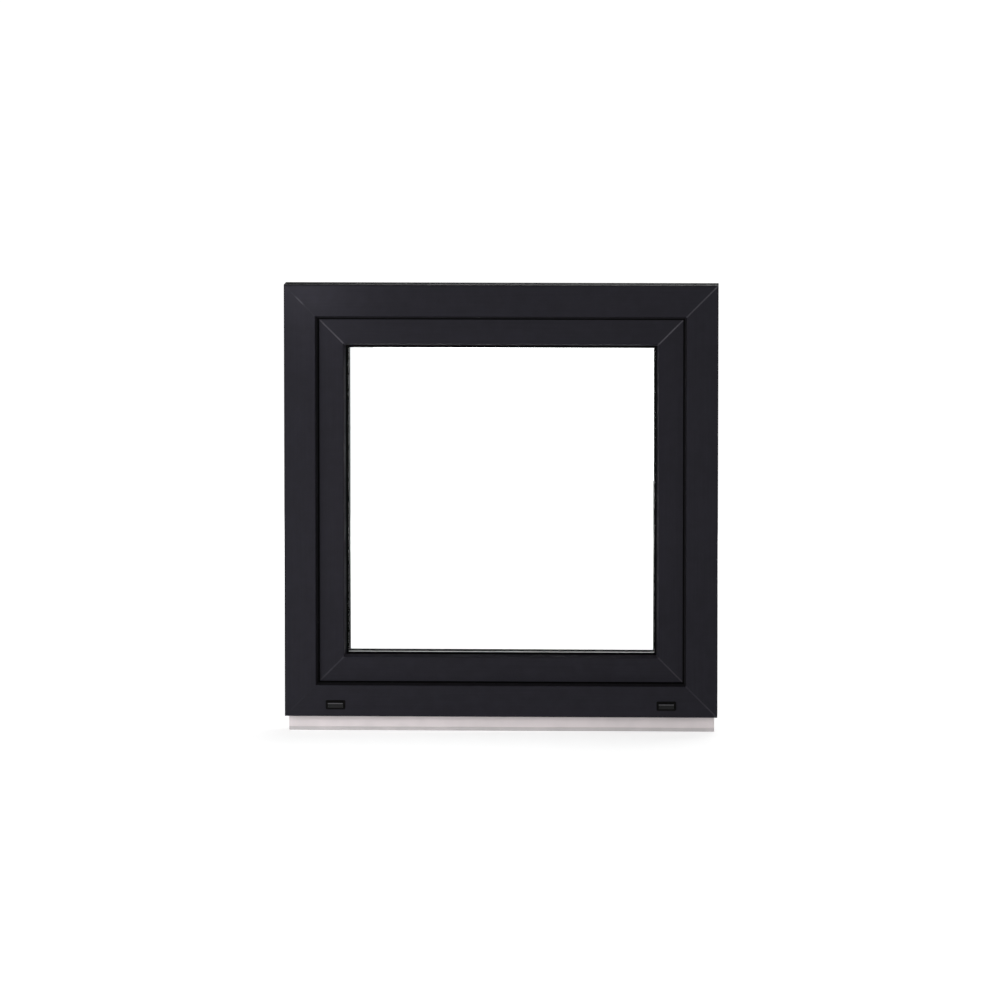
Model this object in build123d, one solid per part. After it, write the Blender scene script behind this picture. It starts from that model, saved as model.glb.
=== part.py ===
from build123d import *

import os

# Millimetres. X runs to the right as the window is seen from outdoors, Y runs from
# outdoors into the room and Z runs up. The origin is on the underside of the sill
# profile, in the middle of the width and of the frame's depth.

# Outside size of the frame
window_width = 800.0
window_height = 800.0
frame_depth = 70.0

# Walls of the extruded profiles
outer_wall = 2.8
inner_web = 1.6
nominal_play = 0.2
nose_radius = 2.0
small_radius = 1.0
tight_radius = 0.5

# Frame profile: heights are measured from the wall towards the glass
frame_rebate_height = 44.0
gully_drop = 2.0
gully_depth = 12.5
gully_ramp_depth = 4.0
flange_height = 17.5
flange_depth = 12.5
flange_nose_height = 4.0
flange_nose_depth = 9.0
frame_edge_radius = 3.0
frame_chamber_shares = (1.0, 2.6, 0.9, 0.9)

# Two dovetail grooves on the wall side take clip-on profiles
clip_groove_width = 9.0
clip_groove_depth = 3.0
clip_groove_flare = 1.0
clip_groove_spacing = 20.0
rear_clip_groove_inset = 12.0

# Sash profile and how it closes on the frame
sash_height = 77.0
stop_gap = 3.5
overlap_gap = 3.5
rebate_air_gap = 12.0
sash_overlap = 8.0
sash_overlap_thickness = 12.5
sash_overlap_radius = 4.0
sash_toe_drop = 6.0
sash_toe_depth = 22.0
sash_toe_slope = 8.0
sash_nose_height = 4.0
sash_nose_lip = 1.0
sash_chamber_shares = (1.0, 3.0, 1.2, 1.0)

# Groove for the locking gear, stepped as a wide faceplate seat over a narrow channel
gear_seat_width = 16.0
gear_seat_depth = 3.0
gear_channel_width = 12.0
gear_channel_depth = 9.0
gear_axis_offset = 13.0

# Glazing
glazing_rebate_height = 17.0
glazing_flange_depth = 14.5
glass_edge_gap = 5.0
outer_gasket_depth = 3.5
inner_gasket_depth = 3.0
pane_thickness = 4.0
pane_edge_chamfer = 0.5
cavity_depth = 16.0
spacer_height = 15.0
spacer_radius = 0.8
outer_gasket_sight_height = 4.0
inner_gasket_sight_height = 1.5
gasket_foot_height = 6.0
gasket_lip_depth = 1.0

# Glazing bead
bead_set_back = 1.5
bead_tip_drop = 0.5
bead_face_height = 13.0
bead_radius = 7.0
bead_wall = 1.8
bead_front_height = 9.0
bead_heel_depth = 9.0
bead_foot_width = 3.6
bead_foot_depth = 4.6
bead_groove_play = 0.3
bead_foot_offset = 9.0

# Weather seals between frame and sash
seal_groove_width = 3.0
seal_groove_depth = 3.0
stop_seal_inset = 4.5
stop_seal_lip_rise = 2.5
stop_seal_lip_thickness = 0.9
stop_seal_nose_reach = 3.0
stop_seal_nose_rise = 2.4
stop_seal_undercut = 0.9
stop_seal_contact_width = 4.6
overlap_seal_inset = 5.0
overlap_seal_width = 6.0

# Sill profile below the frame, with a rebated foot for the outdoor sill
sill_profile_height = 30.0
sill_profile_depth = 37.5
sill_profile_room_set_back = 2.5
sill_profile_end_gap = 6.0
sill_profile_wall = 2.2
sill_profile_edge_radius = 1.0
sill_foot_height = 7.4
sill_foot_recess = 2.0
sill_chamber_shares = (1.0, 1.0, 1.0)

# Drainage caps on the outside face of the bottom rail
drain_slot_length = 28.0
drain_slot_height = 5.0
drain_cap_width = 36.0
drain_cap_height = 17.0
drain_cap_plate = 1.2
drain_cap_radius = 2.5
drain_cap_inset = 94.0
drain_cap_rise = 21.6
drain_hood_width = 28.0
drain_hood_top = 3.7
drain_hood_foot = 5.3
drain_hood_brow_projection = 2.2
drain_hood_brow_drop = 0.8
drain_hood_foot_projection = 3.8
drain_hood_rim = 1.7
drain_hood_panel_recess = 0.7
drain_hood_wall = 1.2
drain_tongue_reach = 5.0
drain_waterway_width = 18.0
drain_waterway_height = 2.5

# Room-side handle on the right-hand stile
handle_backset = 15.0
rose_width = 30.0
rose_height = 68.0
rose_depth = 11.0
rose_corner_radius = 9.0
rose_edge_chamfer = 1.5
neck_radius = 9.5
neck_length = 9.0
lever_width = 19.0
lever_thickness = 13.0
lever_edge_radius = 4.5
lever_rear_chamfer = 2.0
lever_projection = 56.5
lever_bend_radius = 26.0
lever_inner_bend_radius = 13.0
lever_length = 128.0
lever_end_bevel = 6.0

# Hinges on the left-hand side
hinge_radius = 6.5
hinge_axis_from_sash = 7.0
hinge_axis_from_frame_face = 10.0
hinge_leaf_thickness = 2.8
hinge_leaf_width = 21.0
hinge_leaf_gap = 0.8
hinge_web_width = 9.0
hinge_sash_leaf_depth = 6.0
hinge_knuckle_gap = 0.4
hinge_leaf_shoulder = 2.0
upper_frame_knuckle = 44.0
upper_sash_knuckle = 24.0
upper_hinge_drop = 4.0
lower_frame_knuckle = 24.0
lower_sash_knuckle = 60.0
lower_hinge_drop = 14.0

# Planes that follow from the sizes above. Each "line" is a height from the wall towards
# the glass, and each "face" is a depth from the outdoor face of the frame.
gully_line = frame_rebate_height - gully_drop
flange_tip_line = frame_rebate_height + flange_height
rear_clip_groove_face = frame_depth - rear_clip_groove_inset
front_clip_groove_face = rear_clip_groove_face - clip_groove_spacing
sash_outdoor_face = flange_depth + stop_gap
overlap_face = frame_depth + overlap_gap
sash_room_face = overlap_face + sash_overlap_thickness
sash_edge_line = frame_rebate_height - sash_overlap
sash_fold_line = frame_rebate_height + rebate_air_gap
sash_toe_line = sash_fold_line - sash_toe_drop
sash_top_line = sash_edge_line + sash_height
gear_axis_face = overlap_face - gear_axis_offset
gear_floor_line = sash_fold_line + gear_channel_depth
rebate_floor_line = sash_top_line - glazing_rebate_height
glazing_flange_face = sash_outdoor_face + glazing_flange_depth
glass_outer_face = glazing_flange_face + outer_gasket_depth
cavity_front_face = glass_outer_face + pane_thickness
cavity_back_face = cavity_front_face + cavity_depth
glass_room_face = cavity_back_face + pane_thickness
bead_glass_face = glass_room_face + inner_gasket_depth
bead_room_face = sash_room_face - bead_set_back
bead_foot_face = bead_room_face - bead_foot_offset
glass_edge_line = rebate_floor_line + glass_edge_gap
outer_sight_line = sash_top_line + outer_gasket_sight_height
bead_tip_line = outer_sight_line - bead_tip_drop
inner_sight_line = bead_tip_line + inner_gasket_sight_height
stop_seal_line = flange_tip_line - stop_seal_inset
overlap_seal_line = sash_edge_line + overlap_seal_inset
window_centre_height = sill_profile_height + window_height / 2


def outline(*corners):
    """A filled outline from (line, face, radius) corners, each rounded to its radius."""
    points = [(line, face) for line, face, radius in corners]
    radii = [radius for line, face, radius in corners]
    return make_face(FilletPolyline(*points, radius=radii, close=True))


def block(low_line, low_face, high_line, high_face):
    """A plain rectangle between two lines and two faces, for chambers and grooves."""
    return outline(
        (low_line, low_face, 0),
        (high_line, low_face, 0),
        (high_line, high_face, 0),
        (low_line, high_face, 0),
    )


def chamber_row(low_line, high_line, low_face, high_face, shares):
    """Chambers side by side through a depth, parted by webs, in the given shares."""
    free_depth = high_face - low_face - inner_web * (len(shares) - 1)
    chambers = Sketch()
    start = low_face
    for share in shares:
        depth = free_depth * share / sum(shares)
        chambers += block(low_line, start, high_line, start + depth)
        start += depth + inner_web
    return chambers


def clip_dovetails(play):
    """Both dovetails of the frame's wall side, smaller all round by the play."""
    mouth = clip_groove_width / 2 - play
    floor = mouth + clip_groove_flare
    depth = clip_groove_depth - play
    dovetails = Sketch()
    for face in (front_clip_groove_face, rear_clip_groove_face):
        dovetails += outline(
            (0, face - mouth, 0),
            (depth, face - floor, 0),
            (depth, face + floor, 0),
            (0, face + mouth, 0),
        )
    return dovetails


def frame_section():
    """Multi-chamber frame profile with its outdoor flange, drained rebate and clip grooves."""
    gully_end = flange_depth + gully_depth
    profile = outline(
        (0, 0, frame_edge_radius),
        (flange_tip_line - flange_nose_height, 0, nose_radius),
        (flange_tip_line, flange_nose_depth, small_radius),
        (flange_tip_line, flange_depth, tight_radius),
        (gully_line, flange_depth, small_radius),
        (gully_line, gully_end, small_radius),
        (frame_rebate_height, gully_end + gully_ramp_depth, small_radius),
        (frame_rebate_height, frame_depth, small_radius),
        (0, frame_depth, small_radius),
    )
    profile -= clip_dovetails(0)
    groove_floor = flange_depth - seal_groove_depth
    groove_half = seal_groove_width / 2
    profile -= block(
        stop_seal_line - groove_half, groove_floor, stop_seal_line + groove_half, flange_depth
    )
    # The face chamber, a small one between it and the nose, and a row behind them
    web_line = stop_seal_line - groove_half
    profile -= block(
        outer_wall, outer_wall, web_line - outer_wall, flange_depth - outer_wall
    )
    profile -= outline(
        (web_line, outer_wall, 0),
        (flange_tip_line - flange_nose_height - outer_wall / 2, outer_wall, 0),
        (stop_seal_line + groove_half, groove_floor - inner_web, 0),
        (web_line, groove_floor - inner_web, 0),
    )
    profile -= chamber_row(
        clip_groove_depth + outer_wall,
        gully_line - outer_wall,
        flange_depth - outer_wall + inner_web,
        frame_depth - outer_wall,
        frame_chamber_shares,
    )
    return profile


def sash_section():
    """Sash profile with its room-side overlap, locking-gear groove and glazing rebate."""
    nose_start = sash_top_line - sash_nose_height
    toe_end = sash_outdoor_face + sash_toe_depth
    profile = outline(
        (sash_toe_line, sash_outdoor_face, small_radius),
        (nose_start, sash_outdoor_face, nose_radius),
        (sash_top_line, glazing_flange_face - sash_nose_lip, small_radius),
        (sash_top_line, glazing_flange_face, 0),
        (rebate_floor_line, glazing_flange_face, 0),
        (rebate_floor_line, sash_room_face, small_radius),
        (sash_edge_line, sash_room_face, sash_overlap_radius),
        (sash_edge_line, overlap_face, small_radius),
        (sash_fold_line, overlap_face, small_radius),
        (sash_fold_line, toe_end + sash_toe_slope, small_radius),
        (sash_toe_line, toe_end, small_radius),
    )
    seat_half = gear_seat_width / 2
    channel_half = gear_channel_width / 2
    profile -= block(
        sash_fold_line,
        gear_axis_face - seat_half,
        sash_fold_line + gear_seat_depth,
        gear_axis_face + seat_half,
    )
    profile -= block(
        sash_fold_line,
        gear_axis_face - channel_half,
        gear_floor_line,
        gear_axis_face + channel_half,
    )
    seal_half = seal_groove_width / 2
    seal_floor = overlap_face + seal_groove_depth
    profile -= block(
        overlap_seal_line - seal_half, overlap_face, overlap_seal_line + seal_half, seal_floor
    )
    groove_half = bead_foot_width / 2 + bead_groove_play
    groove_floor_line = rebate_floor_line - bead_foot_depth - bead_groove_play
    profile -= block(
        groove_floor_line,
        bead_foot_face - groove_half,
        rebate_floor_line,
        bead_foot_face + groove_half,
    )
    # The face chamber reaches up into the glazing flange, and the rest stand behind it
    face_chamber = glazing_flange_face - outer_wall
    profile -= block(
        sash_toe_line + outer_wall,
        sash_outdoor_face + outer_wall,
        nose_start - inner_web,
        face_chamber,
    )
    body_low_line = gear_floor_line + outer_wall
    body_high_line = groove_floor_line - inner_web
    profile -= chamber_row(
        body_low_line,
        body_high_line,
        face_chamber + inner_web,
        sash_room_face - outer_wall,
        sash_chamber_shares,
    )
    profile -= block(
        sash_fold_line + outer_wall,
        face_chamber + inner_web,
        body_low_line - inner_web,
        gear_axis_face - seat_half - inner_web,
    )
    profile -= block(
        sash_edge_line + sash_overlap_radius,
        seal_floor + inner_web,
        body_low_line - inner_web,
        sash_room_face - outer_wall,
    )
    return profile


def bead_section():
    """Hollow glazing bead that slopes down from the glass and clips in by its foot."""
    seat_line = rebate_floor_line
    shoulder_line = seat_line + bead_face_height
    heel_line = bead_tip_line - bead_front_height
    heel_face = bead_glass_face + bead_heel_depth
    slope_start = bead_glass_face + bead_wall
    profile = outline(
        (seat_line, bead_room_face, tight_radius),
        (shoulder_line, bead_room_face, bead_radius),
        (bead_tip_line, slope_start, tight_radius),
        (bead_tip_line, bead_glass_face, 0),
        (heel_line, bead_glass_face, 0),
        (seat_line, heel_face, tight_radius),
    )
    foot_half = bead_foot_width / 2
    profile += block(
        seat_line - bead_foot_depth,
        bead_foot_face - foot_half,
        seat_line,
        bead_foot_face + foot_half,
    )
    profile -= outline(
        (seat_line + bead_wall, bead_room_face - bead_wall, 0),
        (shoulder_line - bead_wall, bead_room_face - bead_wall, bead_radius - bead_wall),
        (bead_tip_line - bead_wall - bead_wall, slope_start + bead_wall, 0),
        (heel_line + bead_wall, slope_start + bead_wall, 0),
        (seat_line + bead_wall, heel_face + bead_wall, 0),
    )
    return profile


def outer_gasket_section():
    """Outdoor glazing gasket, whose lip slopes down from the sash nose to the glass."""
    foot_line = sash_top_line - gasket_foot_height
    return outline(
        (foot_line, glazing_flange_face, 0),
        (sash_top_line, glazing_flange_face, tight_radius),
        (outer_sight_line, glass_outer_face - gasket_lip_depth, tight_radius),
        (outer_sight_line, glass_outer_face, 0),
        (foot_line, glass_outer_face, 0),
    )


def inner_gasket_section():
    """Room-side glazing gasket between the inner pane and the bead."""
    foot_line = bead_tip_line - gasket_foot_height
    return outline(
        (foot_line, glass_room_face, 0),
        (inner_sight_line, glass_room_face, 0),
        (inner_sight_line, glass_room_face + gasket_lip_depth, tight_radius),
        (bead_tip_line, bead_glass_face, 0),
        (foot_line, bead_glass_face, 0),
    )


def stop_seal_section():
    """Seal in the flange's groove, whose lip climbs the flange's tip and whose nose
    meets the outdoor face of the sash."""
    stem_half = seal_groove_width / 2 - nominal_play / 2
    stem_floor = flange_depth - seal_groove_depth + nominal_play
    lip_face = flange_depth - stop_seal_lip_rise
    nose_line = flange_tip_line + stop_seal_nose_reach
    contact_line = nose_line - stop_seal_undercut
    head = outline(
        (stop_seal_line - stem_half, flange_depth, 0),
        (flange_tip_line, flange_depth, 0),
        (flange_tip_line, lip_face, 0),
        (flange_tip_line + stop_seal_lip_thickness, lip_face, tight_radius),
        (nose_line, sash_outdoor_face - stop_seal_nose_rise, small_radius),
        (nose_line, sash_outdoor_face - stop_seal_undercut, tight_radius),
        (contact_line, sash_outdoor_face, 0),
        (contact_line - stop_seal_contact_width, sash_outdoor_face, 0),
    )
    stem = block(
        stop_seal_line - stem_half, stem_floor, stop_seal_line + stem_half, flange_depth
    )
    return head + stem


def overlap_seal_section():
    """Seal in the sash's overlap, whose rounded head meets the frame's room face."""
    line = overlap_seal_line
    stem_half = seal_groove_width / 2 - nominal_play / 2
    stem_floor = overlap_face + seal_groove_depth - nominal_play
    head_half = overlap_seal_width / 2
    head_middle = (frame_depth + overlap_face) / 2
    head = outline(
        (line - stem_half, overlap_face, 0),
        (line + stem_half, overlap_face, 0),
        (line + head_half, head_middle, small_radius),
        (line + stem_half, frame_depth, 0),
        (line - stem_half, frame_depth, 0),
        (line - head_half, head_middle, small_radius),
    )
    stem = block(line - stem_half, overlap_face, line + stem_half, stem_floor)
    return head + stem


def spacer_section():
    """Spacer bar with its edge sealant, which fills the cavity along the glass edge."""
    sight_line = glass_edge_line + spacer_height
    return outline(
        (glass_edge_line, cavity_front_face, 0),
        (sight_line, cavity_front_face, spacer_radius),
        (sight_line, cavity_back_face, spacer_radius),
        (glass_edge_line, cavity_back_face, 0),
    )


def mitred_bar(section, length):
    """The section drawn out along X and cut at 45 degrees at both ends, wall side down."""
    start = Plane(origin=(length / 2, 0, 0), x_dir=(0, 0, 1), z_dir=(-1, 0, 0))
    bar = extrude(start * section, amount=length)
    left_mitre = Plane(origin=(-length / 2, 0, 0), z_dir=(1, 0, -1))
    right_mitre = Plane(origin=(length / 2, 0, 0), z_dir=(-1, 0, -1))
    bar = split(bar, bisect_by=left_mitre, keep=Keep.TOP)
    return split(bar, bisect_by=right_mitre, keep=Keep.TOP)


def four_sides(section):
    """The mitred bars of one profile in their places round the window, by side."""
    centre = Pos(0, 0, window_centre_height)
    quarter_turns = {"bottom": 0, "left": 90, "top": 180, "right": 270}
    bars = {}
    for side, turn in quarter_turns.items():
        level = side in ("bottom", "top")
        length = window_width if level else window_height
        reach = (window_height if level else window_width) / 2
        bar = Pos(0, -frame_depth / 2, -reach) * mitred_bar(section, length)
        bars[side] = centre * Rot(0, turn, 0) * bar
    return bars


def room_y(face):
    """The Y of a depth that is measured from the frame's outdoor face."""
    return face - frame_depth / 2


def glass_pane(front_face):
    """One pane with its edges arrissed, standing in the glazing rebate."""
    width = window_width - 2 * glass_edge_line
    height = window_height - 2 * glass_edge_line
    pane = chamfer(Box(width, pane_thickness, height).edges(), pane_edge_chamfer)
    return Pos(0, room_y(front_face + pane_thickness / 2), window_centre_height) * pane


def drain_cap_places():
    """Centres of the two drainage caps on the outdoor face of the bottom rail."""
    reach = window_width / 2 - drain_cap_inset
    height = sill_profile_height + drain_cap_rise
    return {"left": (-reach, room_y(0), height), "right": (reach, room_y(0), height)}


def drain_slot():
    """The milled slot behind a cap, through the outdoor wall into the face chamber."""
    slot = SlotOverall(drain_slot_length, drain_slot_height)
    return extrude(Plane.XZ * slot, amount=-outer_wall - inner_web)


def side_plane(width):
    """The upright plane across the window, half a width to the left of its middle."""
    return Plane(origin=(-width / 2, 0, 0), x_dir=(0, 1, 0), z_dir=(1, 0, 0))


def drawn_along_x(width, *corners):
    """A solid of the given width from (depth, height) corners, centred on X."""
    section = make_face(Polyline(*corners, close=True))
    return extrude(side_plane(width) * section, amount=width)


def drain_cap():
    """Rounded plate with a sloping hood, open at its foot, and a tongue into the slot."""
    plate_outline = RectangleRounded(drain_cap_width, drain_cap_height, drain_cap_radius)
    cap = extrude(Plane.XZ * plate_outline, amount=drain_cap_plate)
    cap = chamfer(cap.faces().sort_by(Axis.Y)[0].edges(), tight_radius)
    plate_y = -drain_cap_plate
    brow_y = plate_y - drain_hood_brow_projection
    foot_y = plate_y - drain_hood_foot_projection
    brow_z = drain_hood_top - drain_hood_brow_drop
    foot_z = -drain_hood_foot
    cap += drawn_along_x(
        drain_hood_width,
        (plate_y, drain_hood_top),
        (brow_y, brow_z),
        (foot_y, foot_z),
        (plate_y, foot_z),
    )
    # The hood's front is sunk between a rim along its top and one at each end
    lean = (brow_y - foot_y) / (brow_z - foot_z)
    panel_top_z = brow_z - drain_hood_rim
    panel_top_y = brow_y - lean * drain_hood_rim
    inner_width = drain_hood_width - 2 * drain_hood_rim
    cap -= drawn_along_x(
        inner_width,
        (panel_top_y, panel_top_z),
        (foot_y, foot_z),
        (foot_y + drain_hood_panel_recess, foot_z),
        (panel_top_y + drain_hood_panel_recess, panel_top_z),
    )
    sunk_wall = drain_hood_panel_recess + drain_hood_wall
    cap -= drawn_along_x(
        inner_width,
        (plate_y, panel_top_z),
        (foot_y + sunk_wall, foot_z),
        (plate_y, foot_z),
    )
    tongue = SlotOverall(drain_slot_length - 2 * nominal_play, drain_slot_height - 2 * nominal_play)
    cap += extrude(Plane.XZ * tongue, amount=-drain_tongue_reach)
    waterway = Box(
        drain_waterway_width,
        drain_cap_plate + drain_tongue_reach,
        drain_waterway_height,
        align=(Align.CENTER, Align.MIN, Align.CENTER),
    )
    return cap - Pos(0, plate_y, 0) * waterway


def sill_profile():
    """Three-chamber base profile, clipped into the frame's wall-side grooves."""
    back = frame_depth - sill_profile_room_set_back
    front = back - sill_profile_depth
    foot_front = front + sill_foot_recess
    foot_top_line = sill_foot_height - sill_profile_height
    section = outline(
        (-sill_profile_height, foot_front, sill_profile_edge_radius),
        (foot_top_line, foot_front, 0),
        (foot_top_line, front, sill_profile_edge_radius),
        (0, front, 0),
        (0, back, 0),
        (-sill_profile_height, back, sill_profile_edge_radius),
    )
    section += clip_dovetails(nominal_play)
    section -= chamber_row(
        sill_profile_wall - sill_profile_height,
        -sill_profile_wall,
        foot_front + sill_profile_wall,
        back - sill_profile_wall,
        sill_chamber_shares,
    )
    length = window_width - 2 * sill_profile_end_gap
    end_centre = (length / 2, room_y(0), sill_profile_height)
    end_plane = Plane(origin=end_centre, x_dir=(0, 0, 1), z_dir=(-1, 0, 0))
    return extrude(end_plane * section, amount=length)


handle_x = window_width / 2 - sash_fold_line - handle_backset


def handle_rose():
    """Bevelled rose that covers the handle's fixing to the stile."""
    seat = Plane.XZ * RectangleRounded(rose_width, rose_height, rose_corner_radius)
    rose = extrude(seat, amount=-rose_depth)
    rose = chamfer(rose.faces().sort_by(Axis.Y)[-1].edges(), rose_edge_chamfer)
    return Pos(handle_x, room_y(sash_room_face), window_centre_height) * rose


def bend_edges(grip, radius):
    """The edges of the grip's two sides that follow a bend of this radius."""
    sides = grip.faces().filter_by(Axis.X)
    bends = sides.edges().filter_by(GeomType.CIRCLE)
    return bends.filter_by(lambda edge: abs(edge.radius - radius) < nominal_play)


def handle_lever():
    """Neck and grip in one casting: a round neck that turns down into a rounded grip."""
    neck = Pos(0, rose_depth, 0) * extrude(Plane.XZ * Circle(neck_radius), amount=-neck_length)
    neck_end = rose_depth + neck_length
    inner_face = lever_projection - lever_thickness
    half_thickness = lever_thickness / 2
    side = outline(
        (neck_end, half_thickness, 0),
        (lever_projection, half_thickness, lever_bend_radius),
        (lever_projection, lever_end_bevel - lever_length, 0),
        (lever_projection - lever_end_bevel, -lever_length, 0),
        (inner_face, -lever_length, 0),
        (inner_face, -half_thickness, lever_inner_bend_radius),
        (neck_end, -half_thickness, 0),
    )
    grip = extrude(side_plane(lever_width) * side, amount=lever_width)
    # Both roundings run on from the bend along the straight edges that meet it
    grip = fillet(bend_edges(grip, lever_bend_radius), lever_edge_radius)
    grip = chamfer(bend_edges(grip, lever_inner_bend_radius), lever_rear_chamfer)
    return Pos(handle_x, room_y(sash_room_face), window_centre_height) * (neck + grip)


hinge_x = -window_width / 2 + sash_edge_line - hinge_axis_from_sash
hinge_y = room_y(frame_depth + hinge_axis_from_frame_face)


def frame_hinge(low, high):
    """Leaf on the frame's room face, with a web out to its knuckle."""
    leaf_right = hinge_axis_from_sash - hinge_leaf_gap
    leaf = Pos(leaf_right, -hinge_axis_from_frame_face) * Rectangle(
        hinge_leaf_width, hinge_leaf_thickness, align=(Align.MAX, Align.MIN)
    )
    web = Pos(0, -hinge_axis_from_frame_face) * Rectangle(
        hinge_web_width, hinge_axis_from_frame_face, align=(Align.CENTER, Align.MIN)
    )
    leaf_height = high - low - 2 * hinge_leaf_shoulder
    plate = Pos(0, 0, hinge_leaf_shoulder) * extrude(leaf + web, amount=leaf_height)
    knuckle = extrude(Circle(hinge_radius), amount=high - low)
    return Pos(hinge_x, hinge_y, low) * (knuckle + plate)


def sash_hinge(low, high):
    """Knuckle with a short leaf that seats on the edge of the sash's overlap."""
    leaf = Rectangle(hinge_axis_from_sash, hinge_sash_leaf_depth, align=(Align.MIN, Align.CENTER))
    leaf_height = high - low - 2 * hinge_leaf_shoulder
    plate = Pos(0, 0, hinge_leaf_shoulder) * extrude(leaf, amount=leaf_height)
    knuckle = extrude(Circle(hinge_radius), amount=high - low)
    return Pos(hinge_x, hinge_y, low) * (knuckle + plate)


def hinges():
    """The stay hinge at the head and the corner hinge at the foot, each in two halves."""
    sash_head = sill_profile_height + window_height - sash_edge_line
    sash_foot = sill_profile_height + sash_edge_line
    upper_top = sash_head - upper_hinge_drop
    upper_split = upper_top - upper_sash_knuckle
    lower_low = sash_foot - lower_hinge_drop
    lower_split = lower_low + lower_frame_knuckle
    return {
        "upper_sash_hinge": sash_hinge(upper_split, upper_top),
        "upper_frame_hinge": frame_hinge(
            upper_split - hinge_knuckle_gap - upper_frame_knuckle, upper_split - hinge_knuckle_gap
        ),
        "lower_sash_hinge": sash_hinge(
            lower_split + hinge_knuckle_gap, lower_split + hinge_knuckle_gap + lower_sash_knuckle
        ),
        "lower_frame_hinge": frame_hinge(lower_low, lower_split),
    }


def window_parts():
    """Every piece of the window by its name."""
    frame_bars = four_sides(frame_section())
    for place in drain_cap_places().values():
        frame_bars["bottom"] -= Pos(*place) * drain_slot()
    profiles = {
        "frame": frame_bars,
        "sash": four_sides(sash_section()),
        "glazing_bead": four_sides(bead_section()),
        "outer_glazing_gasket": four_sides(outer_gasket_section()),
        "inner_glazing_gasket": four_sides(inner_gasket_section()),
        "stop_seal": four_sides(stop_seal_section()),
        "overlap_seal": four_sides(overlap_seal_section()),
        "glass_spacer": four_sides(spacer_section()),
    }
    parts = {}
    for name, bars in profiles.items():
        for side, bar in bars.items():
            parts[f"{name}_{side}"] = bar
    parts["outer_glass_pane"] = glass_pane(glass_outer_face)
    parts["inner_glass_pane"] = glass_pane(cavity_back_face)
    parts["sill_profile"] = sill_profile()
    for side, place in drain_cap_places().items():
        parts[f"drain_cap_{side}"] = Pos(*place) * drain_cap()
    parts["handle_rose"] = handle_rose()
    parts["handle_lever"] = handle_lever()
    parts.update(hinges())
    return parts


os.makedirs("parts", exist_ok=True)
for part_name, part in window_parts().items():
    export_step(part.solid(), f"parts/{part_name}.step")
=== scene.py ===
import math

import bmesh
import bpy
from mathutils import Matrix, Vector


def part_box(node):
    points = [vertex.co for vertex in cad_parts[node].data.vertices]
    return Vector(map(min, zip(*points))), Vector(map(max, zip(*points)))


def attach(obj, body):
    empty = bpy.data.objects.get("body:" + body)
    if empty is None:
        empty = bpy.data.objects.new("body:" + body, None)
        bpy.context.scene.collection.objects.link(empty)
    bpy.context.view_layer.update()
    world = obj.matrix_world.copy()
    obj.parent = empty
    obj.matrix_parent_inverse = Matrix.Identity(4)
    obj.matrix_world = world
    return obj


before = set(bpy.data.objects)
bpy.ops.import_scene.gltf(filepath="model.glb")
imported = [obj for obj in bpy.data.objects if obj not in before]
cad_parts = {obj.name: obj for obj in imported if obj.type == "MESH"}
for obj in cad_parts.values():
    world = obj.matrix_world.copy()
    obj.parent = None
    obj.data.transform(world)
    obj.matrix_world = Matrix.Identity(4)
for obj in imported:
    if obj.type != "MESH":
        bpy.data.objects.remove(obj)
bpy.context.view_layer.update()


# Sill profile. A hollow base profile of white rigid vinyl, extruded with fine lines along
# its length, and clipped into the two dovetail grooves under the frame. The outdoor sill
# goes against its sunk foot, which is painted darker as painted shade of its recess.
def start_finish(name, **sockets):
    """A node material whose shader has these even values, keyed by socket name."""
    finish = bpy.data.materials.new(name)
    finish.use_nodes = True
    shader = finish.node_tree.nodes["Principled BSDF"]
    for socket, value in sockets.items():
        shader.inputs[socket.replace("_", " ")].default_value = value
    return finish


def add_node(owner, kind, feeds=None, **settings):
    """A node of this kind, with sockets fed by other sockets or set to plain values."""
    node = owner.node_tree.nodes.new(kind)
    for name, value in settings.items():
        setattr(node, name, value)
    for name, value in (feeds or {}).items():
        if isinstance(value, bpy.types.NodeSocket):
            owner.node_tree.links.new(value, node.inputs[name])
        else:
            node.inputs[name].default_value = value
    return node


def combined(owner, operation, first, second):
    """Two values in one: their sum, their product or the larger of the two."""
    node = add_node(owner, "ShaderNodeMath", {0: first, 1: second}, operation=operation)
    return node.outputs["Value"]


def grain(finish, size, stretch=(1.0, 1.0, 1.0), detail=2.0):
    """Noise with grains of this size in metres, drawn out where stretch is under 1."""
    place = add_node(finish, "ShaderNodeTexCoord").outputs["Object"]
    drawn = add_node(finish, "ShaderNodeMapping", {"Vector": place, "Scale": stretch})
    feeds = {"Vector": drawn.outputs["Vector"], "Scale": 1 / size, "Detail": detail}
    return add_node(finish, "ShaderNodeTexNoise", feeds).outputs["Fac"]


def weighed(finish, *noises_and_shares):
    """Several noises in one, each with its share of the whole."""
    total = 0.0
    for noise, share in noises_and_shares:
        total = combined(finish, "ADD", combined(finish, "MULTIPLY", noise, share), total)
    return total


def spread(finish, value, low, high, start=0.3, end=0.7):
    """The part of a value between start and end, mapped onto low to high."""
    feeds = {"Value": value, "From Min": start, "From Max": end}
    feeds.update({"To Min": low, "To Max": high})
    return add_node(finish, "ShaderNodeMapRange", feeds).outputs["Result"]


def sides_of_place(finish):
    """The X, Y and Z of a point on the piece, in the window's own frame."""
    place = add_node(finish, "ShaderNodeTexCoord").outputs["Object"]
    return add_node(finish, "ShaderNodeSeparateXYZ", {"Vector": place}).outputs


def tone(finish, value, dark, light, start=0.3, end=0.7):
    """A colour that goes from dark to light as a value goes from start to end."""
    ramp = add_node(finish, "ShaderNodeValToRGB", {"Fac": value})
    for stop, place, colour in zip(ramp.color_ramp.elements, (start, end), (dark, light)):
        stop.position = place
        stop.color = (*colour, 1.0)
    return ramp.outputs["Color"]


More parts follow.
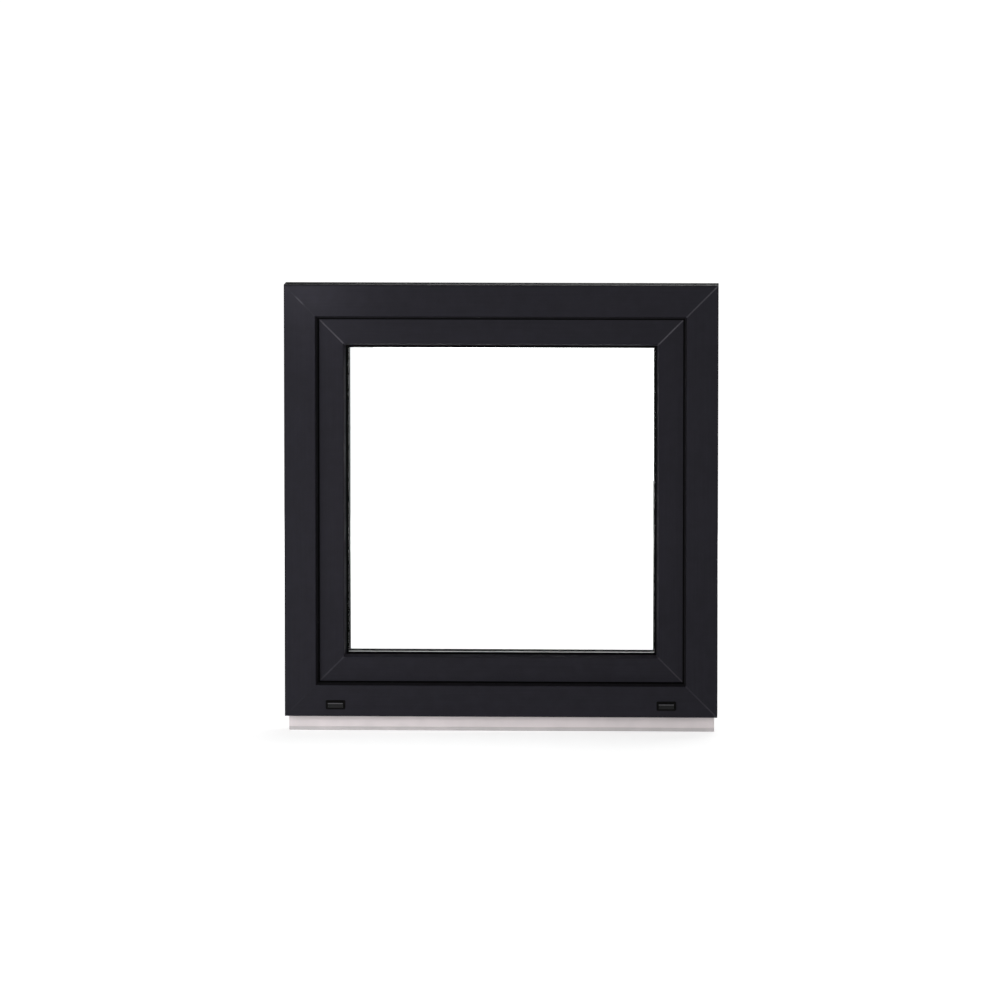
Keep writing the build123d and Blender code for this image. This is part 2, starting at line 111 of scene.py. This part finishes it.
def relief(finish, height, depth, under=None):
    """A bump of this depth in metres, on top of another one if given."""
    feeds = {"Height": height, "Distance": depth}
    if under is not None:
        feeds["Normal"] = under
    return add_node(finish, "ShaderNodeBump", feeds).outputs["Normal"]


def into_shader(finish, **feeds):
    """Joins node outputs to the shader's sockets."""
    shader = finish.node_tree.nodes["Principled BSDF"]
    for socket, output in feeds.items():
        finish.node_tree.links.new(output, shader.inputs[socket.replace("_", " ")])


def finish_nodes(finish, *names):
    """Gives CAD nodes this finish in every slot."""
    for name in names:
        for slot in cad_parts[name].material_slots:
            slot.material = finish


along_x = (0.02, 1.0, 1.0)
# The sunk foot's darker colour is painted shade of its recess, not a colour of the vinyl.
foot_height = 0.0074
foot_shadow_edge = 0.0004
shaded_foot_colour = (0.58, 0.555, 0.558)
sill_colour = (0.88, 0.81, 0.82)

white_vinyl = start_finish("white_vinyl", IOR=1.52, Specular_IOR_Level=0.25)
vinyl_lines = grain(white_vinyl, 0.0011, along_x)
vinyl_clouds = grain(white_vinyl, 0.045)
vinyl_rise = sides_of_place(white_vinyl)["Z"]
# Below foot_height the colour turns to the darker foot colour: painted shade of the sunk
# foot.
above_foot = spread(
    white_vinyl, vinyl_rise, 0.0, 0.6, foot_height - foot_shadow_edge, foot_height
)
vinyl_blend = combined(
    white_vinyl, "ADD", above_foot, combined(white_vinyl, "MULTIPLY", vinyl_clouds, 0.5)
)
into_shader(
    white_vinyl,
    Base_Color=tone(white_vinyl, vinyl_blend, shaded_foot_colour, sill_colour, 0.2, 0.9),
    Roughness=spread(white_vinyl, vinyl_lines, 0.34, 0.46),
    Normal=relief(white_vinyl, vinyl_lines, 0.00002),
)
finish_nodes(white_vinyl, "sill_profile")


# Frame bars. Multi-chamber vinyl profile, coloured dark through and through, with a dark
# grey laminated foil on both faces that leaves its sides bare, mitred and hot-plate welded
# at the corners. The foil is matt and softly mottled, with a sandy emboss and faint lines.
along_z = (1.0, 1.0, 0.02)
foil_dark = (0.0145, 0.0138, 0.0188)
foil_light = (0.0182, 0.0173, 0.0234)
bare_vinyl = (0.0088, 0.0084, 0.0102)
foil_wrap = 0.0009
foil_wrap_edge = 0.0006
frame_low, frame_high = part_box("frame_bottom")[0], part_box("frame_top")[1]
outdoor_face, room_face = frame_low.y, frame_high.y
mix_share, mix_first, mix_second, mix_colour = 0, 6, 7, 2  # sockets of a mix of two colours


def dark_foil(name, bar_direction, sides_bare):
    """Foil with its lines drawn out along the bar, and bare vinyl between the two faces."""
    foil = start_finish(name, IOR=1.5, Specular_IOR_Level=0.08)
    sand = grain(foil, 0.0008, tuple(0.4 if share < 1 else 1.0 for share in bar_direction))
    lines = grain(foil, 0.0032, bar_direction, 3.0)
    mottle = grain(foil, 0.026, detail=3.0)
    clouds = grain(foil, 0.15)
    blend = weighed(foil, (mottle, 0.5), (lines, 0.25), (clouds, 0.25))
    colour = tone(foil, blend, foil_dark, foil_light, 0.4, 0.6)
    if sides_bare:
        depth = sides_of_place(foil)["Y"]
        outdoor_edge, room_edge = outdoor_face + foil_wrap, room_face - foil_wrap
        behind = spread(foil, depth, 0.0, 1.0, outdoor_edge, outdoor_edge + foil_wrap_edge)
        before = spread(foil, depth, 1.0, 0.0, room_edge - foil_wrap_edge, room_edge)
        bare = combined(foil, "MULTIPLY", behind, before)
        feeds = {mix_share: bare, mix_first: colour, mix_second: (*bare_vinyl, 1.0)}
        mix = add_node(foil, "ShaderNodeMix", feeds, data_type="RGBA")
        colour = mix.outputs[mix_colour]
    into_shader(
        foil,
        Base_Color=colour,
        Roughness=spread(foil, mottle, 0.56, 0.66),
        Normal=relief(foil, sand, 0.00003, relief(foil, lines, 0.00002)),
    )
    return foil


finish_nodes(dark_foil("level_frame_foil", along_x, True), "frame_bottom", "frame_top")
finish_nodes(dark_foil("upright_frame_foil", along_z, True), "frame_left", "frame_right")


# Weld seams of the frame. Where two bars are welded, the bead of melted vinyl is trimmed
# off and the bare line is touched up by hand with lacquer, which dries paler, and thicker
# in some places than in others.
thin_lacquer = (0.0163, 0.0155, 0.0211)
thick_lacquer = (0.105, 0.101, 0.115)
seam_lacquer = start_finish("seam_lacquer", IOR=1.5, Specular_IOR_Level=0.08)
seam_ripple = grain(seam_lacquer, 0.004, detail=3.0)
seam_paleness = add_node(seam_lacquer, "ShaderNodeAttribute", attribute_name="paleness")
seam_cover = combined(
    seam_lacquer,
    "MULTIPLY",
    seam_paleness.outputs["Fac"],
    spread(seam_lacquer, seam_ripple, 0.7, 1.0),
)
into_shader(
    seam_lacquer,
    Base_Color=tone(seam_lacquer, seam_cover, thin_lacquer, thick_lacquer, 0.0, 1.0),
    Roughness=spread(seam_lacquer, seam_ripple, 0.5, 0.62),
    Normal=relief(seam_lacquer, seam_ripple, 0.00005),
)

# Each corner's place in x and z, and which way is inward from it.
corners = {
    "bottom_left": (frame_low.x, frame_low.z, 1, 1),
    "top_left": (frame_low.x, frame_high.z, 1, -1),
    "top_right": (frame_high.x, frame_high.z, -1, -1),
    "bottom_right": (frame_high.x, frame_low.z, -1, 1),
}


def rounded_outline(*knees, bend_steps=6):
    """Points on an open outline of (line, depth, radius) knees, in mm, each one rounded.

    The line runs from the outer edge of the frame towards the glass, and the depth from
    its outdoor face into the room.
    """
    points = [Vector(knees[0][:2])]
    for before, here, after in zip(knees, knees[1:], knees[2:]):
        bend = Vector(here[:2])
        back = (Vector(before[:2]) - bend).normalized()
        ahead = (Vector(after[:2]) - bend).normalized()
        turn = math.pi - back.angle(ahead)
        reach = here[2] * math.tan(turn / 2)
        centre = bend + (back + ahead).normalized() * here[2] / math.cos(turn / 2)
        start, end = bend + back * reach - centre, bend + ahead * reach - centre
        for step in range(bend_steps + 1):
            angle = turn * step / bend_steps
            arm = start * math.sin(turn - angle) + end * math.sin(angle)
            points.append(centre + arm / math.sin(turn))
    points.append(Vector(knees[-1][:2]))
    return points


def between(knots, at):
    """The value at a place on a line of (place, value) knots."""
    for (low, low_value), (high, high_value) in zip(knots, knots[1:]):
        if at <= high and high > low:
            share = max(0.0, (at - low) / (high - low))
            return low_value + share * (high_value - low_value)
    return knots[-1][1]


def at_corner(place, line_x, line_z, depth):
    """The spot in metres that lies these distances in mm from a corner of the frame."""
    corner_x, corner_z, inward_x, inward_z = corners[place]
    return (
        corner_x + inward_x * line_x / 1000,
        outdoor_face + depth / 1000,
        corner_z + inward_z * line_z / 1000,
    )


def fit_piece(name, mesh, finish, spot=(0.0, 0.0, 0.0), turn=0.0):
    """Makes a finished mesh a piece of the window, turned in the plane of its face."""
    bmesh.ops.recalc_face_normals(mesh, faces=mesh.faces)
    piece_mesh = bpy.data.meshes.new(name)
    mesh.to_mesh(piece_mesh)
    mesh.free()
    piece_mesh.materials.append(finish)
    piece = bpy.data.objects.new(name, piece_mesh)
    piece.location = spot
    piece.rotation_euler = (0.0, turn, 0.0)
    bpy.context.scene.collection.objects.link(piece)
    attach(piece, "root")
    return piece


# Sizes of a seam in mm. It is 3 mm wide square to the mitre, and each of the points
# across it has a share of the half width and a share of the lacquer. Two sways, each with
# its reach in mm and its pace, keep it from being dead straight.
seam_half_width = 1.06
seam_height = 0.12
seam_start = 0.1
seam_step = 0.75
seam_points = ((-1.0, 0.35), (-0.7, 0.9), (0.0, 1.0), (0.7, 0.9), (1.0, 0.35))
seam_sways = ((0.10, 0.9), (0.06, 2.3))


def weld_seam(name, place, outline, paleness, outward):
    """A slim lacquered seam that follows a profile's outline along its mitre."""
    corner_x, corner_z = corners[place][:2]
    (wide_sway, wide_pace), (fine_sway, fine_pace) = seam_sways
    first, last = outline[0][0] + seam_start, outline[-1][0]
    steps = range(int((last - first) / seam_step))
    knees = {point[0] for point in outline if point[0] >= first}
    lines = sorted(knees | {first + seam_step * step for step in steps})
    mesh = bmesh.new()
    rows = []
    for line in lines:
        sway = wide_sway * math.sin(line * wide_pace + corner_z)
        sway += fine_sway * math.sin(line * fine_pace + corner_x)
        row = []
        for across, _ in seam_points:
            aside = across * seam_half_width + sway * (1 - abs(across))
            aside = max(-line, min(line, aside))
            lift = 0.0 if abs(across) == 1.0 else outward * seam_height
            depth = between(outline, line - abs(aside)) + lift
            row.append(mesh.verts.new(at_corner(place, line + aside, line - aside, depth)))
        rows.append(row)
    for row, next_row in zip(rows, rows[1:]):
        for at in range(len(row) - 1):
            mesh.faces.new((row[at], row[at + 1], next_row[at + 1], next_row[at]))
    seam = fit_piece(name, mesh, seam_lacquer)
    cover = seam.data.attributes.new("paleness", "FLOAT", "POINT")
    shares = [share * between(paleness, line) for line in lines for _, share in seam_points]
    for point, share in zip(cover.data, shares):
        point.value = share
    for face in seam.data.polygons:
        face.use_smooth = True


frame_outline = rounded_outline((0, 2.9, 0), (0, 0, 2.9), (57.5, 0, 2), (58.9, 3.17, 0))
frame_room_outline = ((0.9, 70.0), (35.6, 70.0))
# How pale the lacquer is at places along the mitre, in mm from the corner.
frame_paleness = {
    "top_left": ((0, 0.0), (20, 0.03), (25, 0.26), (33, 0.3), (38, 0.05), (48, 0.0)),
    "top_right": ((0, 0.6), (14, 0.56), (28, 0.48), (44, 0.5), (59, 0.4)),
    "bottom_right": ((0, 0.3), (30, 0.2), (59, 0.12)),
    "bottom_left": ((0, 0.0), (22, 0.05), (36, 0.02), (59, 0.0)),
}
room_paleness = ((0, 0.3), (20, 0.4), (60, 0.35), (100, 0.4))
for place in corners:
    weld_seam(f"frame_weld_{place}", place, frame_outline, frame_paleness[place], -1)
    weld_seam(f"frame_room_weld_{place}", place, frame_room_outline, room_paleness, 1)


# Drainage caps. Small hoods of black moulded plastic, pressed by a tongue into the milled
# drain slots of the bottom rail, to let rain out and keep wind from blowing in. The plate
# is dull from the mould, and painted near black as painted shade of the gap round it. The
# hood on it is smoother, with a painted highlight along its brow.
cap_front = outdoor_face - 0.0013
hood_front = cap_front - 0.0007
# The band at the top of the hood that carries a painted highlight of its lit brow.
brow_highlight_start, brow_highlight_end = 0.0532, 0.0538
cap_plastic = start_finish("black_cap_plastic", IOR=1.5, Specular_IOR_Level=0.08)
cap_sides = sides_of_place(cap_plastic)
cap_hood = spread(cap_plastic, cap_sides["Y"], 0.5, 0.0, hood_front, cap_front)
painted_brow_highlight = spread(cap_plastic, cap_sides["Z"], 0.0, 1.0, brow_highlight_start, brow_highlight_end)
painted_highlight_on_hood = combined(cap_plastic, "MULTIPLY", cap_hood, painted_brow_highlight)
cap_spark = grain(cap_plastic, 0.0005)
cap_shade_and_highlight = combined(
    cap_plastic,
    "MULTIPLY",
    combined(cap_plastic, "ADD", cap_hood, painted_highlight_on_hood),
    spread(cap_plastic, cap_spark, 0.85, 1.0),
)
cap_shade = add_node(cap_plastic, "ShaderNodeValToRGB", {"Fac": cap_shade_and_highlight})
cap_shade.color_ramp.elements.new(0.5)
# Plate: near black, painted shade. Hood: the black plastic. Brow: pale, a painted
# highlight.
shaded_plate_hood_and_lit_brow = (0.0006, 0.010, 0.12)
for stop, shade in zip(cap_shade.color_ramp.elements, shaded_plate_hood_and_lit_brow):
    stop.color = (shade, shade, 1.08 * shade, 1.0)
into_shader(
    cap_plastic,
    Base_Color=cap_shade.outputs["Color"],
    Roughness=spread(cap_plastic, cap_hood, 0.75, 0.35, 0.0, 0.5),
    Normal=relief(cap_plastic, cap_spark, 0.00001),
)
finish_nodes(cap_plastic, "drain_cap_left", "drain_cap_right")


# Stop seals. Black weather seal pushed into the groove of the frame's flange, with a soft
# nose that the outdoor face of the sash closes against.
def black_rubber(name, along):
    """Matt black seal rubber with the fine lines of its extrusion."""
    deep_black, bloomed_black = (0.0012, 0.0012, 0.0014), (0.0022, 0.0022, 0.0026)
    rubber = start_finish(name, IOR=1.5, Specular_IOR_Level=0.04)
    lines = grain(rubber, 0.0006, along)
    bloom = grain(rubber, 0.02, detail=3.0)
    into_shader(
        rubber,
        Base_Color=tone(rubber, bloom, deep_black, bloomed_black),
        Roughness=spread(rubber, bloom, 0.6, 0.75),
        Normal=relief(rubber, lines, 0.00002),
    )
    return rubber


level_rubber = black_rubber("black_rubber_on_level_bars", along_x)
upright_rubber = black_rubber("black_rubber_on_upright_bars", along_z)
finish_nodes(level_rubber, "stop_seal_bottom", "stop_seal_top")
finish_nodes(upright_rubber, "stop_seal_left", "stop_seal_right")


# Sash bars. The same foiled vinyl as the frame, welded in the same way, with a bevelled
# nose towards the glass and a rounded overlap on the room side.
level_foil = dark_foil("level_sash_foil", along_x, False)
upright_foil = dark_foil("upright_sash_foil", along_z, False)
finish_nodes(level_foil, "sash_bottom", "sash_top")
finish_nodes(upright_foil, "sash_left", "sash_right")

sash_outline = rounded_outline((64.2, 16, 0), (109, 16, 2), (112.9, 29.2, 0))
sash_room_outline = rounded_outline((36, 82.2, 0), (36, 86, 3.7), (96, 86, 0))
sash_paleness = {
    "top_left": ((64, 0.25), (72, 0.5), (84, 0.45), (96, 0.6), (110, 0.7), (113, 0.4)),
    "top_right": ((64, 0.55), (76, 0.8), (98, 0.72), (110, 0.72), (113, 0.4)),
    "bottom_right": ((64, 0.3), (80, 0.3), (98, 0.26), (110, 0.24), (113, 0.2)),
    "bottom_left": ((64, 0.1), (78, 0.28), (98, 0.2), (110, 0.24), (113, 0.1)),
}
for place in corners:
    weld_seam(f"sash_weld_{place}", place, sash_outline, sash_paleness[place], -1)
    weld_seam(f"sash_room_weld_{place}", place, sash_room_outline, room_paleness, 1)


# Overlap seals. A second weather seal in the sash's overlap, which meets the room face of
# the frame when the window is shut.
finish_nodes(level_rubber, "overlap_seal_bottom", "overlap_seal_top")
finish_nodes(upright_rubber, "overlap_seal_left", "overlap_seal_right")


# Glazing gaskets. Black rubber between glass and vinyl, one outdoors against the sash's
# nose and one in the room against the bead, mitred at the corners. The room-side one ends
# in a thin soft lip that lies on the inner pane.
side_ends = {
    "bottom": ("bottom_left", "bottom_right"),
    "left": ("top_left", "bottom_left"),
    "top": ("top_right", "top_left"),
    "right": ("bottom_right", "top_right"),
}


def gasket_lip(name, side, section, finish):
    """A lip with this section of (line, depth) points in mm, mitred at both corners."""
    mesh = bmesh.new()
    start, end = (
        [mesh.verts.new(at_corner(place, line, line, depth)) for line, depth in section]
        for place in side_ends[side]
    )
    mesh.faces.new(start)
    mesh.faces.new(end)
    for at in range(len(section)):
        mesh.faces.new((start[at - 1], start[at], end[at], end[at - 1]))
    fit_piece(name, mesh, finish)


lip_section = (
    (117.0, 58.02),
    (119.6, 58.02),
    (119.8, 58.15),
    (119.75, 58.3),
    (119.2, 58.6),
    (118.2, 59.0),
    (117.4, 59.6),
    (117.0, 59.6),
)
for side in side_ends:
    rubber = level_rubber if side in ("bottom", "top") else upright_rubber
    finish_nodes(rubber, f"outer_glazing_gasket_{side}", f"inner_glazing_gasket_{side}")
    gasket_lip(f"gasket_lip_{side}", side, lip_section, rubber)


# Glass unit. Two 4 mm panes of clear float glass with ground edges, kept 16 mm apart by a
# pale perforated spacer bar, whose sight face shows between the panes. The panes mirror
# little, so that the gaskets behind them stay dark.
float_glass = start_finish(
    "clear_float_glass",
    Base_Color=(0.992, 1.0, 0.996, 1.0),
    Roughness=0.0,
    IOR=1.25,
    Transmission_Weight=1.0,
)
into_shader(float_glass, Normal=relief(float_glass, grain(float_glass, 0.11), 0.00001))
finish_nodes(float_glass, "outer_glass_pane", "inner_glass_pane")

hole_pitch = 1 / 330
hole_colour = (0.4, 0.4, 0.405)
spacer_colour = (0.86, 0.86, 0.87)
spacer_metal = start_finish("pale_spacer_metal", Metallic=0.2, IOR=1.5)
spacer_lines = grain(spacer_metal, 0.0005, along_x)
spacer_place = add_node(spacer_metal, "ShaderNodeTexCoord").outputs["Object"]
spacer_holes = add_node(
    spacer_metal,
    "ShaderNodeTexVoronoi",
    {"Vector": spacer_place, "Scale": 1 / hole_pitch, "Randomness": 0.0},
).outputs["Distance"]
hole_edge = spread(spacer_metal, spacer_holes, 0.0, 1.0, 0.16, 0.22)
into_shader(
    spacer_metal,
    Base_Color=tone(spacer_metal, hole_edge, hole_colour, spacer_colour, 0.0, 1.0),
    Roughness=spread(spacer_metal, spacer_lines, 0.36, 0.5),
    Normal=relief(spacer_metal, hole_edge, 0.0001),
)
finish_nodes(spacer_metal, *[f"glass_spacer_{side}" for side in side_ends])


# Glazing beads. Hollow foiled strips that clip into the sash from the room side and hold
# the glass unit, cut at 45 degrees in the corners and not welded.
finish_nodes(level_foil, "glazing_bead_bottom", "glazing_bead_top")
finish_nodes(upright_foil, "glazing_bead_left", "glazing_bead_right")


# Hinges. Silver-grey lacquered steel: a stay hinge at the head and a corner hinge at the
# foot, each with one half screwed to the frame and one half on the sash.
hinge_lacquer = start_finish("silver_grey_lacquer", Metallic=0.6, IOR=1.5)
lacquer_flake = grain(hinge_lacquer, 0.0003)
lacquer_flow = grain(hinge_lacquer, 0.012, detail=3.0)
into_shader(
    hinge_lacquer,
    Base_Color=tone(hinge_lacquer, lacquer_flow, (0.40, 0.41, 0.42), (0.46, 0.47, 0.48)),
    Roughness=spread(hinge_lacquer, lacquer_flow, 0.32, 0.42),
    Normal=relief(hinge_lacquer, lacquer_flake, 0.000006),
)
finish_nodes(
    hinge_lacquer,
    "upper_sash_hinge",
    "upper_frame_hinge",
    "lower_sash_hinge",
    "lower_frame_hinge",
)

screw_steel = start_finish("zinc_plated_steel", Metallic=1.0)
screw_swirl = grain(screw_steel, 0.0004, detail=4.0)
into_shader(
    screw_steel,
    Base_Color=tone(screw_steel, screw_swirl, (0.50, 0.49, 0.46), (0.62, 0.61, 0.58)),
    Roughness=spread(screw_steel, screw_swirl, 0.24, 0.38),
    Normal=relief(screw_steel, screw_swirl, 0.00001),
)

head_radius = 0.0032
head_dome = 0.0007
recess_half_width = 0.00042
recess_reach = 0.0019
recess_depth = 0.0008


def hinge_screw(name, centre, turn, rings=12, around=64):
    """Countersunk screw head with a shallow dome and a cross recess, facing the room."""
    mesh = bmesh.new()
    previous = None
    for ring_at in range(1, rings + 1):
        radius = head_radius * ring_at / rings
        ring = []
        for at in range(around):
            angle = 2 * math.pi * at / around
            x, z = radius * math.cos(angle), radius * math.sin(angle)
            rise = head_dome * (1 - (radius / head_radius) ** 2)
            if min(abs(x), abs(z)) < recess_half_width and radius < recess_reach:
                rise -= recess_depth
            ring.append(mesh.verts.new((x, rise, z)))
        if previous is None:
            mesh.faces.new(ring)
        for at in range(around if previous else 0):
            after = (at + 1) % around
            mesh.faces.new((previous[at], previous[after], ring[after], ring[at]))
        previous = ring
    fit_piece(name, mesh, screw_steel, centre, turn)


leaf_thickness = 0.0028
screw_inset = 0.0045
screw_rises = {"upper_frame_hinge": (0.009, 0.035), "lower_frame_hinge": (0.007, 0.017)}
for hinge, rises in screw_rises.items():
    leaf_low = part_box(hinge)[0]
    for count, rise in enumerate(rises):
        seat = leaf_low + Vector((screw_inset, leaf_thickness, rise))
        hinge_screw(f"{hinge}_screw_{count + 1}", seat, 0.6 + 0.9 * count)


# Handle. Cast aluminium with a satin silver finish: a rose screwed to the stile over the
# locking gear's spindle, and a lever that turns on it, here pointing down for shut.
satin_aluminium = start_finish("satin_aluminium", Metallic=1.0)
satin_sand = grain(satin_aluminium, 0.00025)
satin_flow = grain(satin_aluminium, 0.015, detail=3.0)
into_shader(
    satin_aluminium,
    Base_Color=tone(satin_aluminium, satin_flow, (0.56, 0.56, 0.57), (0.64, 0.64, 0.65)),
    Roughness=spread(satin_aluminium, satin_flow, 0.3, 0.38),
    Normal=relief(satin_aluminium, satin_sand, 0.000008),
)
finish_nodes(satin_aluminium, "handle_rose", "handle_lever")


# Studio. A plain pale floor that turns to white further off, and a surround that is white
# to the camera and dim for what it lights. Large soft lamps stand in front, at the left,
# above and behind, and a tiny one shines on the top left corner.
def seen_as_background(owner):
    """1 for camera and transmission rays, and 0 for the rays that light things."""
    path = add_node(owner, "ShaderNodeLightPath").outputs
    return combined(owner, "MAXIMUM", path["Is Camera Ray"], path["Is Transmission Ray"])


floor_half = 60.0
whitening_start, whitening_end = 0.9, 3.0  # metres from the middle of the floor
floor_paint = start_finish(
    "pale_studio_floor",
    Roughness=0.8,
    Specular_IOR_Level=0.1,
    Emission_Color=(1.0, 1.0, 1.0, 1.0),
)
floor_speckle = grain(floor_paint, 0.02, detail=3.0)
floor_place = add_node(floor_paint, "ShaderNodeTexCoord").outputs["Object"]
floor_reach = add_node(
    floor_paint, "ShaderNodeVectorMath", {0: floor_place}, operation="LENGTH"
).outputs["Value"]
floor_seen = combined(
    floor_paint,
    "MAXIMUM",
    seen_as_background(floor_paint),
    add_node(floor_paint, "ShaderNodeLightPath").outputs["Is Glossy Ray"],
)
floor_glow = combined(
    floor_paint,
    "MULTIPLY",
    spread(floor_paint, floor_seen, 0.25, 1.0, 0.0, 1.0),
    spread(floor_paint, floor_reach, 0.66, 0.96, whitening_start, whitening_end),
)
into_shader(
    floor_paint,
    Base_Color=tone(floor_paint, floor_speckle, (0.86, 0.86, 0.86), (0.88, 0.88, 0.88)),
    Emission_Strength=floor_glow,
)

floor_mesh = bpy.data.meshes.new("studio_floor")
floor_mesh.from_pydata(
    [
        (-floor_half, -floor_half, 0.0),
        (floor_half, -floor_half, 0.0),
        (floor_half, floor_half, 0.0),
        (-floor_half, floor_half, 0.0),
    ],
    [],
    [(0, 1, 2, 3)],
)
floor = bpy.data.objects.new("studio_floor", floor_mesh)
floor_mesh.materials.append(floor_paint)
bpy.context.scene.collection.objects.link(floor)

studio = bpy.data.worlds.new("studio_surround")
studio.use_nodes = True
bpy.context.scene.world = studio
white = (1.0, 1.0, 1.0)
sky_place = add_node(studio, "ShaderNodeTexCoord").outputs["Generated"]
sky_sides = add_node(studio, "ShaderNodeSeparateXYZ", {"Vector": sky_place}).outputs
sky_colour = tone(studio, sky_sides["Z"], white, (0.6, 0.6, 0.6), 0.1, 0.6)
sky_glow = spread(studio, sky_sides["Y"], 0.25, 0.13, -0.4, 0.4)
sky_level = combined(studio, "MAXIMUM", seen_as_background(studio), sky_glow)
dim_sky = studio.node_tree.nodes["Background"]
studio.node_tree.links.new(sky_colour, dim_sky.inputs["Color"])
studio.node_tree.links.new(sky_level, dim_sky.inputs["Strength"])
white_sky = add_node(
    studio, "ShaderNodeBackground", {"Color": (*white, 1.0), "Strength": 1.0}
)
camera_ray = add_node(studio, "ShaderNodeLightPath").outputs["Is Camera Ray"]
sky = add_node(studio, "ShaderNodeMixShader", {"Fac": camera_ray})
studio.node_tree.links.new(dim_sky.outputs["Background"], sky.inputs[1])
studio.node_tree.links.new(white_sky.outputs["Background"], sky.inputs[2])
world_output = studio.node_tree.nodes["World Output"]
studio.node_tree.links.new(sky.outputs["Shader"], world_output.inputs["Surface"])


def soft_lamp(name, place, aim, width, height, power):
    """A flat soft lamp, itself out of sight, that points at a spot near the window."""
    lamp_data = bpy.data.lights.new(name, "AREA")
    lamp_data.shape = "RECTANGLE"
    lamp_data.size = width
    lamp_data.size_y = height
    lamp_data.energy = power
    lamp = bpy.data.objects.new(name, lamp_data)
    lamp.location = place
    lamp.rotation_euler = (Vector(aim) - Vector(place)).to_track_quat("-Z", "Y").to_euler()
    lamp.visible_camera = False
    bpy.context.scene.collection.objects.link(lamp)


soft_lamp("front_lamp", (-0.75, -3.0, 0.6), (-0.4, 0.0, 0.46), 4.0, 1.4, 36.5)
soft_lamp("left_lamp", (-0.95, -1.1, 0.25), (-0.6, 0.0, 0.15), 0.8, 1.0, 7.2)
soft_lamp("corner_lamp", (-0.365, -0.16, 0.835), (-0.36, 0.0, 0.825), 0.05, 0.05, 0.10)
soft_lamp("top_lamp", (0.2, 0.3, 2.6), (0.0, 0.0, 0.5), 1.2, 1.2, 12.0)
soft_lamp("back_lamp", (1.2, 3.0, 1.0), (0.0, 0.0, 0.42), 3.6, 1.8, 47.0)

bpy.context.scene.view_settings.view_transform = "Standard"


# Camera. Far off, with a long lens, and nearly square to the outdoor face: a little above
# the window and a little to the right of it.
camera_lens = 272.7
camera_distance = 14.0
camera_turn = math.radians(2.0)
camera_rise = math.radians(5.8)
camera_aim = Vector((-0.0027, 0.0, 0.4298))
camera_data = bpy.data.cameras.new("photo_camera")
camera_data.lens = camera_lens
camera_data.clip_end = 200.0
camera = bpy.data.objects.new("photo_camera", camera_data)
camera.location = camera_aim + camera_distance * Vector(
    (
        math.sin(camera_turn) * math.cos(camera_rise),
        -math.cos(camera_turn) * math.cos(camera_rise),
        math.sin(camera_rise),
    )
)
camera.rotation_euler = (camera_aim - camera.location).to_track_quat("-Z", "Y").to_euler()
bpy.context.scene.collection.objects.link(camera)
bpy.context.scene.camera = camera
